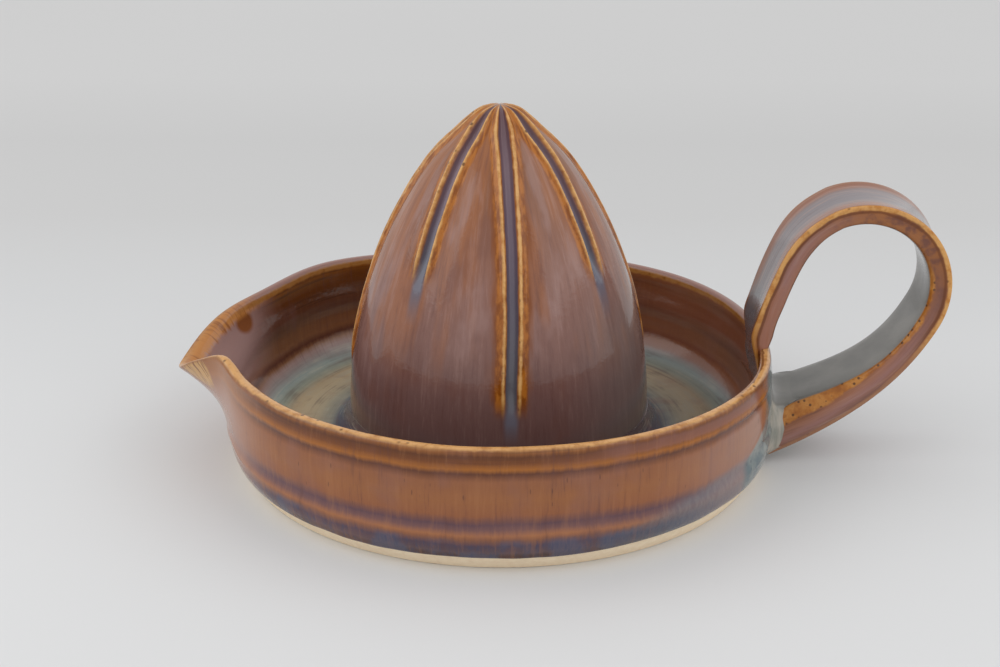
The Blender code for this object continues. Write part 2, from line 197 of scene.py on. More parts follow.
def inner_radius(height):
    """The inside of the wall, with the hollow that a finger leaves under the rim."""
    lip_end = RIM_HEIGHT - LIP_THICKNESS / 2
    share = (height - CORNER_TOP) / (lip_end - CORNER_TOP)
    straight = WALL_RADIUS - WALL_THICKNESS
    at_lip = WALL_RADIUS - LIP_INSET - LIP_THICKNESS
    wave = math.sin((height - HOLLOW_HEIGHT) / HOLLOW_LENGTH * math.tau)
    fade = smooth_step(share * 4.0) * smooth_step((1.0 - share) * 5.0)
    return lerp(straight, at_lip, share) + HOLLOW_DEPTH * wave * fade


def dish_outline():
    """Points (radius, height, distance from the rim's crest): outside above 0, inside below."""
    outside = [(FOOT_RADIUS * step / 8 * 0.96, 0.0) for step in range(9)]
    corner = FOOT_RADIUS - FOOT_ROUNDING
    for step in range(1, 6):
        turn = math.pi / 2 * step / 5
        outside.append((
            corner + FOOT_ROUNDING * math.sin(turn),
            FOOT_ROUNDING * (1.0 - math.cos(turn)),
        ))
    heights = [GLAZE_LINE * share for share in (0.35, 0.52, 0.69, 0.85, 0.94)]
    heights += [GLAZE_LINE + step * NOSE_ROW for step in range(8)]
    while heights[-1] < RIM_HEIGHT - LIP_THICKNESS / 2 - LIP_ROW:
        heights.append(heights[-1] + OUTER_ROW)
    for height in heights:
        nose = max(0.0, min(1.0, (height - GLAZE_LINE + NOSE_ROW) / NOSE_RISE))
        coat = GLAZE_THICKNESS * (math.sqrt(1.0 - (1.0 - nose) ** 2) - 1.0)
        outside.append((outer_radius(height) + coat, height))
    half = LIP_THICKNESS / 2
    lip_radius = WALL_RADIUS - LIP_INSET - half
    lip = []
    for step in range(25):
        turn = math.pi * step / 24
        across = abs(math.cos(turn)) ** (2.0 / LIP_SQUARENESS)
        up = math.sin(turn) ** (2.0 / LIP_SQUARENESS)
        across = math.copysign(across, math.cos(turn))
        lip.append((lip_radius + half * across, RIM_HEIGHT - half + half * up))
    inside = []
    height = RIM_HEIGHT - half - LIP_ROW
    while height > CORNER_TOP + INNER_ROW / 2:
        inside.append((inner_radius(height), height))
        height -= INNER_ROW
    for step in range(21):
        turn = math.pi / 2 * step / 20
        inside.append((
            FLOOR_RADIUS + INNER_CORNER_RADIUS * math.cos(turn),
            CORNER_TOP - INNER_CORNER_RADIUS * math.sin(turn),
        ))
    radius = FLOOR_RADIUS
    while radius > 0.0:
        radius -= FLOOR_ROW if radius > FINE_FLOOR else COARSE_ROW
        inside.append((max(0.0, radius), FLOOR_THICKNESS))
    points = outside + lip + inside
    crest = len(outside) + len(lip) // 2
    walked = [0.0]
    for (radius, height), (next_radius, next_height) in zip(points, points[1:]):
        walked.append(walked[-1] + math.hypot(next_radius - radius, next_height - height))
    return [(*point, walked[crest] - far) for point, far in zip(points, walked)]


def press_dish(point):
    """Pull out the spout, raise its shoulders, and draw the rim in at the handle."""
    radius = math.hypot(point.x, point.y)
    if radius < 1.0 * MM:
        return point
    round_pot = Vector((point.x, point.y, 0.0)) / radius
    share = (point.z - SPOUT_ROOT_HEIGHT) / (RIM_HEIGHT - SPOUT_ROOT_HEIGHT)
    share = min(1.0, max(0.0, share)) * smooth_step((radius - PULL_START) / PULL_FADE)
    from_spout = math.degrees(math.atan2(point.y, -point.x))
    turn = abs(from_spout)
    from_handle = 180.0 - turn
    outward = SPOUT_REACH * math.exp(-((turn / SPOUT_HALF_ANGLE) ** SPOUT_CURVE))
    upward = -SPOUT_DROP * bump(turn, SPOUT_NOTCH_ANGLE)
    if from_spout < 0:
        upward += hump(NEAR_SHOULDER, turn)
    else:
        upward += hump(FAR_SHOULDER, turn) * (1.0 - bump(turn, SPOUT_NOTCH_ANGLE))
        upward += hump(BACK_RIM, from_handle)
    outward -= hump(HANDLE_PULL, from_handle)
    grain = noise.noise(round_pot * 2.3 + Vector((0.0, 0.0, point.z / (30.0 * MM))))
    outward += HAND_WOBBLE * (grain - 0.5)
    upward += HAND_WOBBLE * noise.noise(round_pot * 3.1 + Vector((5.0, 2.0, 0.0)))
    line = bump(point.z - GLAZE_LINE, 1.1 * MM) * (radius > FOOT_RADIUS - 1.0 * MM)
    ripple = noise.noise(round_pot * 4.0) * 0.35 * MM + noise.noise(round_pot * 11.0) * 0.15 * MM
    if from_spout < 0:
        ripple += hump(CLAY_RISE, from_handle)
    smoothed = math.exp(-((turn / SMOOTHED_ANGLE) ** 4)) * (radius > WALL_RADIUS - 1.5 * MM)
    radius -= smoothed * sum(hump(ridge, point.z) for ridge in THROWING_LINES[1:])
    moved = round_pot * (radius + outward * share ** 2)
    moved.z = point.z + upward * share + ripple * line
    return moved


def floor_spiral(mark, around):
    """The spiral of low ridges that throwing leaves on the floor, as height."""
    edge = smooth_step((-SPIRAL_START - mark) / SPIRAL_FADE)
    return SPIRAL_RISE * edge * math.sin(-mark / SPIRAL_PITCH * math.tau + around)


dish, marks = turn_on_wheel("juicer_dish", dish_outline(), DISH_COLUMNS)
rows = []
for vertex, mark in zip(dish.data.vertices, marks):
    around = math.atan2(vertex.co.y, vertex.co.x)
    around -= COLUMN_CROWDING / 2 * math.sin(2 * around)
    radius = math.hypot(vertex.co.x, vertex.co.y)
    rows.append(flow_of(around, WALL_RADIUS, mark))
    column = Vector((radius * math.cos(around), radius * math.sin(around), vertex.co.z))
    vertex.co = press_dish(column)
    vertex.co.z += floor_spiral(mark, around)
floor_mark = next(mark for _, height, mark in dish_outline()[::-1] if height > FLOOR_THICKNESS)
store(dish, "from_rim", [mark / MM for mark in marks])
store_flow(dish, rows)

VENT_DIAMETER = 3.2 * MM
VENT_OFFSET = 14.0 * MM
VENT_TURN = math.radians(4.1)   # keeps the needle's edges off the dish's own
deselect_all()
bpy.ops.mesh.primitive_cylinder_add(
    vertices=32,
    radius=VENT_DIAMETER / 2,
    depth=FLOOR_THICKNESS * 2,
    location=(VENT_OFFSET, 0.0, FLOOR_THICKNESS / 2),
    rotation=(0.0, 0.0, VENT_TURN),
)
needle = bpy.context.object
deselect_all()
bpy.context.view_layer.objects.active = dish
dish.select_set(True)
hole = dish.modifiers.new("kiln_vent", "BOOLEAN")
hole.object = needle
hole.solver = "EXACT"
bpy.ops.object.modifier_apply(modifier=hole.name)
bpy.data.objects.remove(needle)

SPECULAR = 0.36
GLAZE_ROUGHNESS = 0.11
GLAZE_GRAIN = 0.04 * MM
DARK_SPECK = (48, 28, 22)


def fired(colour):
    """A given colour, 0 to 255 as on screen, as the linear values that a shader takes. A field
    stays.
    """
    if isinstance(colour, Field):
        return colour
    shares = [value / 255.0 for value in colour]
    linear = [share / 12.92 if share <= 0.04045 else ((share + 0.055) / 1.055) ** 2.4
              for share in shares]
    return (*linear, 1.0)


class Recipe:
    """The shader of one glaze, clay or paper."""

    def __init__(self, name):
        self.material = bpy.data.materials.new(name)
        self.material.use_nodes = True
        self.tree = self.material.node_tree
        self.shader = self.tree.nodes["Principled BSDF"]

    def feed(self, socket, value):
        """Link a field to an input, or set the input to a number."""
        if isinstance(value, Field):
            self.tree.links.new(value.socket, socket)
        else:
            socket.default_value = value

    def node(self, kind, inputs, output=0, **settings):
        """Add a node and return one of its outputs."""
        made = self.tree.nodes.new(kind)
        for setting, value in settings.items():
            setattr(made, setting, value)
        for place, value in inputs.items():
            self.feed(made.inputs[place], value)
        return Field(self, made.outputs[output])

    def read(self, name, output="Fac"):
        """What store or store_flow kept for each vertex."""
        return self.node("ShaderNodeAttribute", {}, output, attribute_name=name)

    def place(self):
        """The point on the piece, in metres."""
        return self.node("ShaderNodeTexCoord", {}, "Object")

    def finish(self, colour, roughness, relief, depth):
        """Set the colour, the gloss, and a fine relief of the given depth."""
        bump_inputs = {"Height": relief, "Distance": depth, "Strength": 1.0}
        self.feed(self.shader.inputs["Base Color"], colour)
        self.feed(self.shader.inputs["Roughness"], roughness)
        self.feed(self.shader.inputs["Specular IOR Level"], SPECULAR)
        self.feed(self.shader.inputs["Normal"], self.node("ShaderNodeBump", bump_inputs))
        return self.material

    def glossy(self, colour):
        """Finish it as a glaze."""
        return self.finish(colour, GLAZE_ROUGHNESS, self.place().noise(900.0), GLAZE_GRAIN)


class Field:
    """A number, vector or colour that varies over a piece. Arithmetic on it adds nodes."""

    def __init__(self, recipe, socket):
        self.recipe = recipe
        self.socket = socket

    def maths(self, operation, first, second=0.0):
        return self.recipe.node("ShaderNodeMath", {0: first, 1: second}, operation=operation)

    def __add__(self, other):
        return self.maths("ADD", self, other)

    def __sub__(self, other):
        return self.maths("SUBTRACT", self, other)

    def __rsub__(self, other):
        return self.maths("SUBTRACT", other, self)

    def __mul__(self, other):
        return self.maths("MULTIPLY", self, other)

    def __truediv__(self, other):
        return self.maths("DIVIDE", self, other)

    def __abs__(self):
        return self.maths("ABSOLUTE", self)

    def step(self, low, high):
        """0 below low, 1 above high, eased between them. It falls if low is the larger."""
        inputs = {"Value": self, "From Min": low, "From Max": high}
        return self.recipe.node("ShaderNodeMapRange", inputs, interpolation_type="SMOOTHSTEP")

    def rise(self, low, high):
        """0 below low, 1 above high, and straight between them."""
        return self.recipe.node("ShaderNodeMapRange", {0: self, 1: low, 2: high})

    def mix(self, share, other):
        """This colour with a share of another in it."""
        inputs = {0: share, 6: self, 7: fired(other)}
        return self.recipe.node("ShaderNodeMix", inputs, 2, data_type="RGBA")

    def between(self, first, second):
        """The first number or colour where this is 0, the second where it is 1."""
        if not isinstance(first, tuple):
            return self.recipe.node("ShaderNodeMix", {0: self, 2: first, 3: second})
        inputs = {0: self, 6: fired(first), 7: fired(second)}
        return self.recipe.node("ShaderNodeMix", inputs, 2, data_type="RGBA")

    def ramp(self, *stops):
        """A colour for each level of this, from (level, colour) stops."""
        made = self.recipe.node("ShaderNodeValToRGB", {"Fac": self})
        points = made.socket.node.color_ramp.elements
        for point, (level, colour) in zip(points, (stops[0], stops[-1])):
            point.position, point.color = level, fired(colour)
        for level, colour in stops[1:-1]:
            points.new(level).color = fired(colour)
        return made

    def part(self, index):
        return self.recipe.node("ShaderNodeSeparateXYZ", {0: self}, index)

    def scale(self, factors):
        inputs = {0: self, 1: factors}
        return self.recipe.node("ShaderNodeVectorMath", inputs, operation="MULTIPLY")

    def away_from(self, point):
        """The distance from one point, in metres."""
        inputs = {0: self, 1: point}
        return self.recipe.node("ShaderNodeVectorMath", inputs, 1, operation="DISTANCE")

    def noise(self, scale, detail=2.0, roughness=0.5):
        """Clouds. A scale of two numbers, round the piece and down it, draws them out."""
        vector = self
        if isinstance(scale, tuple):
            vector, scale = self.scale((scale[0], *scale)), 1.0
        inputs = {"Vector": vector, "Scale": scale, "Detail": detail, "Roughness": roughness}
        return self.recipe.node("ShaderNodeTexNoise", inputs)

    def specks(self, scale, size, share):
        """Round specks in some of the cells of a pattern: 1 on a speck."""
        cells = self.recipe.node("ShaderNodeTexVoronoi", {"Vector": self, "Scale": scale})
        tint = Field(self.recipe, cells.socket.node.outputs["Color"])
        pick = self.recipe.node("ShaderNodeSeparateColor", {0: tint})
        return cells.step(size, size * 0.5) * self.maths("LESS_THAN", pick, share)


def run_glaze(colour, flow, dark, dark_share, pale, pale_share):
    """Streaks of rutile that ran down the pot in the kiln: soft broad ones, and fine hairs."""
    broad = flow.noise((0.16, 0.02))
    streaks = flow.noise((0.75, 0.035), 4.0, 0.62)
    hairs = flow.noise((2.6, 0.16), 3.0, 0.6)
    streaks = streaks.mix(0.30, hairs).mix(0.25, broad)
    colour = colour.mix(streaks.step(0.50, 0.66) * dark_share, dark)
    return colour.mix(streaks.step(0.50, 0.36) * pale_share, pale)


def thin_edge(place, pale, dark):
    """Glaze that has run thin over an edge: tan and soft, with a few dark specks of iron."""
    mottle = place.noise(900.0, 3.0, 0.6).mix(0.55, place.noise(300.0))
    colour = mottle.step(0.42, 0.70).between(pale, dark)
    crowd = place.noise(45.0, 1.0).step(0.42, 0.60)
    return colour.mix(place.specks(560.0, 0.32, 0.30) * crowd * 0.8, DARK_SPECK)


recipe = Recipe("dish_glaze")
from_rim = recipe.read("from_rim")
flow = recipe.read("flow", "Vector")
place = recipe.place()
x_place, y_place, z_place = place.part(0), place.part(1), place.part(2)
sway = (flow.noise((0.045, 0.045), 3.0) - 0.5) * 2.0
fringe = flow.noise((0.9, 0.05), 3.0, 0.65) - 0.5
seen = from_rim + sway + fringe
outside_colour = (seen / 32.0).ramp(
    (0.0, (196, 150, 98)), (0.05, (138, 84, 42)), (0.078, (98, 54, 26)), (0.125, (120, 68, 32)),
    (0.168, (164, 99, 36)), (0.205, (98, 56, 38)), (0.265, (146, 92, 60)), (0.4, (154, 98, 60)),
    (0.505, (148, 92, 60)), (0.575, (98, 70, 78)), (0.61, (116, 80, 78)), (0.648, (162, 105, 69)),
    (0.675, (142, 92, 66)), (0.725, (84, 68, 82)), (0.785, (98, 78, 82)), (0.815, (78, 54, 48)),
)
inside_colour = (seen / -62.0).ramp(
    (0.0, (170, 118, 62)), (0.022, (158, 98, 42)), (0.038, (134, 76, 22)), (0.08, (108, 58, 18)),
    (0.12, (90, 50, 26)), (0.18, (96, 58, 42)), (0.235, (124, 78, 50)), (0.268, (132, 84, 54)),
    (0.292, (94, 56, 44)), (0.312, (142, 96, 66)), (0.332, (158, 126, 118)),
    (0.358, (150, 138, 134)), (0.392, (142, 154, 148)), (0.436, (158, 162, 146)),
    (0.48, (188, 168, 136)), (0.53, (196, 178, 146)), (0.597, (182, 170, 144)),
    (0.645, (150, 150, 138)), (0.686, (88, 98, 112)), (0.734, (82, 78, 92)), (0.8, (92, 74, 82)),
    (1.0, (100, 74, 74)),
)
inside = from_rim.step(0.4, -0.4)
colour = outside_colour.mix(inside, inside_colour)
on_wall = from_rim.step(-24.0, -19.0)
pale_share = inside.between(0.2, 0.08) * on_wall
streak_place = flow.scale((1.2, 1.2, 2.0))
colour = run_glaze(colour, streak_place, (94, 58, 52), on_wall * 0.45, (182, 124, 80), pale_share)
rings = flow.noise((0.03, 1.1), 3.0, 0.6)
ring_depth = inside.between(6.0, 13.0)
upper = (ring_depth - abs(seen)).step(0.0, 3.5)
ring_share = inside.between(0.3, 0.6) * upper * rings.step(0.5, 0.64)
colour = colour.mix(ring_share, (72, 40, 26))
floor_share = 1.0 - on_wall
clouds = flow.noise((0.09, 0.22), 3.0).mix(0.5, rings)
dark_cloud = clouds.step(0.5, 0.66) * floor_share
colour = colour.mix(dark_cloud * 0.5, (112, 98, 90))
pale_cloud = clouds.step(0.5, 0.34) * floor_share
colour = colour.mix(pale_cloud * 0.5, (186, 180, 160))
warm_ring = abs(seen + 20.8).step(1.8, 0.4) * inside * x_place.step(0.01, 0.04)
colour = colour.mix(warm_ring * 0.6, (150, 100, 72))
dim_side = x_place.step(0.02, 0.048) * floor_share
colour = colour.mix(dim_side * 0.4, (84, 86, 90))
mauve_patch = flow.noise((0.09, 0.09), 3.0).step(0.48, 0.72)
colour = colour.mix(mauve_patch * 0.3, (132, 94, 90))
low_wall = seen.step(21.0, 23.0)
pools = flow.noise((0.12, 0.1)).step(0.46, 0.6) * low_wall
colour = colour.mix(pools * 0.6, (86, 90, 112))
pool_rise = x_place.step(0.018, 0.056).between(0.0, 5.0)
blue_pool = (seen + pool_rise).step(20.5, 23.5) * x_place.step(0.012, 0.046)
blue_grain = flow.noise((1.1, 0.42), 3.0, 0.65)
pool_colour = blue_grain.step(0.36, 0.64).between((78, 93, 110), (100, 112, 123))
colour = colour.mix(blue_pool * 0.8, pool_colour)
blush = x_place.step(0.03, 0.06) * 0.45 * seen.step(7.5, 9.0)
colour = colour.mix(blush, (176, 142, 128))
under_rim = x_place.step(0.004, 0.04) * 0.4 * seen.step(1.8, 2.8) * seen.step(5.0, 4.2)
colour = colour.mix(under_rim, (158, 108, 96))
warm_side = x_place.step(0.026, 0.05) * on_wall * inside
colour = colour.mix(warm_side * 0.6, (138, 84, 62))
blue_edge = z_place.step(0.0115, 0.018).between(0.0552, 0.0616)
past_edge = x_place - blue_edge + (sway + fringe) * 0.0007
outer_side = from_rim.step(1.0, 2.2)
drip = abs(past_edge + 0.0004).step(0.0015, 0.0003) * outer_side * z_place.step(0.012, 0.018)
colour = colour.mix(drip * 0.7, (156, 96, 56))
blue_side = past_edge.step(-0.0006, 0.0016) * outer_side
blue = place.noise(170.0, 3.0).step(0.35, 0.65).between((88, 108, 114), (138, 145, 140))
blue = blue.mix(place.specks(700.0, 0.34, 0.35) * 0.45, (52, 72, 82))
colour = colour.mix(blue_side * 0.9, blue)
flecks = flow.scale((1.3, 1.3, 0.34)).specks(1.0, 0.28, 0.13)
flecks = flecks * abs(seen - 12.0).step(6.5, 3.0)
colour = colour.mix(flecks * 0.5, (84, 54, 46))
pool_flecks = blue_grain.step(0.5, 0.64) * low_wall * 0.4
colour = colour.mix(pool_flecks, (64, 70, 98))
into_spout = x_place.step(-0.058, -0.066) * z_place.step(0.01, 0.016) * inside
colour = colour.mix(into_spout * 0.8, (172, 140, 136))
drop = place.away_from((-0.0654, 0.0157, 0.0266)).step(0.0035, 0.002) * inside
colour = colour.mix(drop * 0.9, (132, 72, 18))
spout_side = x_place.step(-0.05, -0.066) * outer_side
spout_colour = seen.step(3.0, 13.0).between((166, 108, 62), (176, 132, 112))
colour = colour.mix(spout_side * 0.85, spout_colour)
lip_streaks = flow.noise((1.4, 0.12), 3.0, 0.6)
lip_colour = lip_streaks.step(0.5, 0.66).between((208, 162, 98), (132, 80, 36))
lip_tan = place.away_from((-0.0735, -0.0118, 0.0252)) + fringe * 0.004
lip_tan = lip_tan.step(0.0074, 0.0048) * outer_side
colour = colour.mix(lip_tan * 0.95, lip_colour)
lip_run = (from_rim + lip_streaks * 3.2).step(-2.6, -0.9) * inside * x_place.step(-0.06, -0.066)
lip_run = lip_run * x_place.step(-0.0796, -0.0766)
lip_colour = lip_streaks.step(0.44, 0.72).between((200, 134, 66), (146, 88, 42))
colour = colour.mix(lip_run * 0.9, lip_colour)
far_side = y_place.step(-0.012, 0.022)
crest_seen = from_rim + (place.noise(420.0) - 0.5)
near_crest = abs(crest_seen).step(1.4, 0.55)
far_crest = abs(crest_seen + 2.1).step(0.95, 0.25) * x_place.step(-0.072, -0.062)
at_crest = far_side.between(near_crest, far_crest)
far_top = abs(from_rim).step(2.1, 1.5) * far_side * x_place.step(-0.073, -0.06)
colour = colour.mix(far_top, (146, 108, 98))
crest_colour = thin_edge(place, (212, 161, 102), (174, 117, 62))
crest_colour = crest_colour.mix(far_side * 0.75, (150, 94, 36))
colour = colour.mix(at_crest, crest_colour)
by_handle = x_place.step(0.05, 0.058) * near_crest * (1.0 - far_side)
inner_line = abs(crest_seen + 0.65).step(0.5, 0.2) * by_handle
# Painted highlight: a pale band on the inner side of the rim's crest beside the handle, where the
# edge catches the light.
inner_edge = crest_seen.step(-0.9, -1.2) * by_handle
colour = colour.mix(inner_edge * 0.8, (180, 140, 122))
colour = colour.mix(inner_line * 0.85, (112, 62, 28))
dish_glaze = recipe.glossy(colour)

recipe = Recipe("bare_clay")
place = recipe.place()
grain = place.noise(700.0, 4.0, 0.65)
colour = grain.step(0.3, 0.75).between((250, 232, 204), (240, 218, 188))
colour = colour.mix(place.noise((60.0, 1500.0)) * 0.3, (228, 206, 172))
bare_clay = recipe.finish(colour, 0.8, grain, 0.06 * MM)

finish_piece(dish, "dish", (dish_glaze, bare_clay))
glaze_ends = (RIM_HEIGHT - GLAZE_LINE) / MM
distances = [point.value for point in dish.data.attributes["from_rim"].data]
for face in dish.data.polygons:
    middle = sum(distances[index] for index in face.vertices) / len(face.vertices)
    if middle > glaze_ends + 1.0:
        face.material_index = 1


# The reamer: a hollow cone thrown closed and open below, its flutes pressed in pairs of a long
# and a short one while leather hard. The glaze breaks tan on their ridges and pools in them.

REAMER_HEIGHT = 86.9 * MM
REAMER_RADIUS = 37.0 * MM
REAMER_WIDEST_HEIGHT = 10.0 * MM
REAMER_TIP_RADIUS = 13.7 * MM
REAMER_WALL = 4.5 * MM
REAMER_OFFSET = 0.4 * MM
REAMER_BASE = FLOOR_THICKNESS + 0.3 * MM
FLUTE_PAIRS = 4
FLUTE_START_ANGLE = 6.0
FLUTE_WIDTH = 2.6 * MM
FLUTE_DEPTH = 1.3 * MM
FLUTE_RIDGE_PLACE = 1.85 * MM  # from the flute's middle to the crest of each ridge
FLUTE_RIDGE_WIDTH = 0.75 * MM
FLUTE_RIDGE_HEIGHT = 0.75 * MM
LONG_FLUTE_END = 20.5 * MM
SHORT_FLUTE_END = 48.0 * MM
FLUTE_RUN_OUT = 9.0 * MM
FLUTE_TURNS = {0: (4.5, 4.5), 4: (-5.5, -5.5), 6: (0.0, -1.5)}   # degrees off line, tip and foot
FLUTE_CROWDING = 0.42
COLUMNS_PER_FLUTE = 48
REAMER_RINGS = 130
DOME_RINGS = 16
HOLLOW_RINGS = 12
TIP_SINK = (1.3 * MM, 9.5 * MM, 4.5 * MM)     # the shoulder under the blunt tip is lower than round
REAMER_CROWDING = 0.6          # the columns stand closer in the flutes
FLUTE_WOBBLES = (              # spread between flutes, length of a wave, layer of noise, size
    (7.3, 16.0 * MM, 0.0, 0.28 * MM),
    (3.1, 3.0 * MM, 4.0, 0.07 * MM),
)
FLUTE_MARKS = ("across", "past_end", "is_long", "from_tip")


def reamer_outline(inset, rings, dome_rings):
    """The cone's curve and its domed tip as (radius, height, slope), from base to tip."""
    dome = REAMER_TIP_RADIUS
    dome_centre = REAMER_HEIGHT - dome
    rise = dome_centre - REAMER_WIDEST_HEIGHT
    sweep = (rise ** 2 + REAMER_RADIUS ** 2 - dome ** 2) / (2 * (REAMER_RADIUS - dome))
    centre = REAMER_RADIUS - sweep
    start = math.asin((REAMER_BASE - REAMER_WIDEST_HEIGHT) / (sweep - inset))
    tangent = math.atan2(rise, -centre)
    points = []
    outside = inset == 0.0
    for ring in range(rings + 1):
        slope = lerp(start, tangent, ring / rings)
        along = sweep - inset
        along -= hump(TIP_SINK, centre + along * math.cos(slope)) * outside
        points.append((
            centre + along * math.cos(slope),
            REAMER_WIDEST_HEIGHT + along * math.sin(slope),
            slope,
        ))
    for ring in range(1, dome_rings):
        slope = lerp(tangent, math.pi / 2, ring / dome_rings)
        reach = dome - inset
        reach -= hump(TIP_SINK, reach * math.cos(slope)) * outside
        points.append((reach * math.cos(slope), dome_centre + reach * math.sin(slope), slope))
    points.append((0.0, REAMER_HEIGHT - inset, math.pi / 2))
    return points


def flute_relief(across):
    """The section across a flute: a flat-bottomed channel between two beads."""
    channel = -FLUTE_DEPTH * math.exp(-(abs(across) / (FLUTE_WIDTH * 0.5)) ** 4)
    bead = FLUTE_RIDGE_HEIGHT * bump(abs(across) - FLUTE_RIDGE_PLACE, FLUTE_RIDGE_WIDTH)
    return channel + bead


hollow = [(radius, height, -1.0) for radius, height, _ in
          reamer_outline(REAMER_WALL, HOLLOW_RINGS, 4)]
cone = reamer_outline(0.0, REAMER_RINGS, DOME_RINGS)
outline = hollow[::-1] + [(hollow[0][0], REAMER_BASE, -1.0)] + cone
reamer_columns = FLUTE_PAIRS * 2 * COLUMNS_PER_FLUTE
reamer, marks = turn_on_wheel("juicer_reamer", outline, reamer_columns)
pitch = math.pi / FLUTE_PAIRS
kept, rows = [], []
for vertex, slope in zip(reamer.data.vertices, marks):
    radius, height = math.hypot(vertex.co.x, vertex.co.y), vertex.co.z
    around = math.atan2(vertex.co.y, vertex.co.x) - math.radians(FLUTE_START_ANGLE)
    around -= REAMER_CROWDING * math.sin(around / pitch * math.tau) * pitch / math.tau
    flute = round(around / pitch)
    edge = FLUTE_RIDGE_PLACE + FLUTE_RIDGE_WIDTH * 1.3
    squeeze = min(1.0, FLUTE_CROWDING * pitch * radius / edge) if slope > 0.0 else 1.0
    squeeze = max(squeeze, 0.01)
    which = flute % (FLUTE_PAIRS * 2)
    hand = sum(
        noise.noise(Vector((which * spread, height / length, layer))) * size
        for spread, length, layer, size in FLUTE_WOBBLES
    )
    at_top, at_foot = FLUTE_TURNS.get(which, (0.0, 0.0))
    shift = lerp(at_top, at_foot, smooth_step((60.0 * MM - height) / (40.0 * MM)))
    off_line = around - flute * pitch - math.radians(shift)
    across = (off_line * radius / squeeze) + hand
    end = SHORT_FLUTE_END if flute % 2 else LONG_FLUTE_END
    strength = smooth_step((height - end) / FLUTE_RUN_OUT)
    strength *= smooth_step(radius / (5.0 * MM))
    turn = around + math.radians(FLUTE_START_ANGLE)
    move, wobble = 0.0, 1.0
    if slope >= -0.5:
        move = flute_relief(across) * strength * squeeze
        wobble += 0.004 * noise.noise(Vector((math.cos(turn), math.sin(turn), height * 40.0)))
    reach = (radius + move * math.cos(slope)) * wobble
    vertex.co = Vector((
        reach * math.cos(turn) - REAMER_OFFSET,
        reach * math.sin(turn),
        height + move * math.sin(slope),
    ))
    kept.append((
        abs(across) / MM,
        (height - end) / MM,
        0.0 if flute % 2 else 1.0,
        math.hypot(radius, REAMER_HEIGHT - height) / MM,
    ))
    rows.append(flow_of(turn, REAMER_RADIUS, height))
for name, values in zip(FLUTE_MARKS, zip(*kept)):
    store(reamer, name, values)
store_flow(reamer, rows)

recipe = Recipe("reamer_glaze")
across, past_end, is_long, from_tip = [recipe.read(name) for name in FLUTE_MARKS]
flow = recipe.read("flow", "Vector")
place = recipe.place()
x_place, height = place.part(0), place.part(2)
up_share = height / 0.088
body = up_share.ramp(
    (0.08, (94, 72, 72)), (0.17, (104, 76, 74)), (0.3, (114, 84, 80)), (0.42, (132, 96, 88)),
    (0.58, (139, 99, 87)), (0.72, (138, 92, 71)), (0.86, (134, 87, 58)), (1.0, (150, 102, 62)),
)
warm = flow.noise((0.13, 0.035)) + across.step(12.0, 3.0) * 0.12
warm = warm.step(0.5, 0.68) * height.step(0.026, 0.044)
body = body.mix(warm * 0.65, (156, 98, 62))
streak_place = flow.scale((1.0, 1.0, 2.2))
pale_share = height.step(0.02, 0.046).between(0.12, 0.22)
body = run_glaze(body, streak_place, (94, 60, 58), 0.42, (184, 148, 138), pale_share)
bloom = flow.noise((0.11, 0.06), 3.0, 0.55)
body = body.mix(bloom.step(0.52, 0.68) * 0.35, (112, 72, 62))
lit = bloom.step(0.48, 0.32) * height.step(0.024, 0.044)
body = body.mix(lit * 0.4, (164, 132, 126))
grey_side = x_place.step(0.012, 0.032) * height.step(0.06, 0.036)
body = body.mix(grey_side * 0.45, (112, 108, 106))
ridge_on = past_end.step(1.5, 8.0)
amber_edge = (flow.noise((0.5, 0.12), 3.0) - 0.5) * 3.0
amber = (across + amber_edge).step(5.2, 3.2) * ridge_on * height.step(0.08, 0.066)
body = body.mix(amber * is_long.between(0.6, 0.9), (128, 68, 22))
at_tip = (from_tip + amber_edge).step(12.0, 5.0)
body = body.mix(at_tip * 0.8, (168, 116, 62))
tail = across.step(2.2, 0.8) * past_end.rise(is_long.between(-7.0, -4.0), 1.0)
body = body.mix(tail, (104, 100, 112))
ridge_jitter = (place.noise(500.0) - 0.5) * 0.7
ochre = (abs(across - 2.25) + ridge_jitter).step(1.75, 0.9) * ridge_on
ochre_run = flow.noise((0.5, 0.3), 3.0, 0.6).step(0.4, 0.62)
ochre_colour = ochre_run.between((178, 108, 38), (134, 72, 18))
body = body.mix(ochre * 0.9, ochre_colour)
ridge = (abs(across - 1.85) + ridge_jitter).step(0.62, 0.0) * ridge_on
body = body.mix(ridge, thin_edge(place, (218, 168, 104), (184, 126, 60)))
channel = across.step(1.45, 1.1) * ridge_on * from_tip.step(1.0, 4.0)
channel_colour = up_share.ramp(
    (0.2, (124, 134, 134)), (0.4, (116, 114, 124)), (0.55, (113, 106, 120)), (0.7, (124, 108, 122)),
    (0.85, (134, 112, 122)), (1.0, (112, 82, 86)),
)
channel_blue = is_long.between((112, 126, 138), (108, 104, 116))
channel_colour = channel_colour.mix(past_end.step(22.0, 2.0) * 0.6, channel_blue)
channel_colour = channel_colour.mix(across.step(0.5, 1.25) * 0.45, (72, 48, 56))
reamer_glaze = recipe.glossy(body.mix(channel, channel_colour))
finish_piece(reamer, "reamer", (reamer_glaze,))


# The reamer's luting coil: soft clay pressed into the corner between the reamer and the floor and
# smoothed away at both edges, so that the glaze runs over it and pools blue-grey.

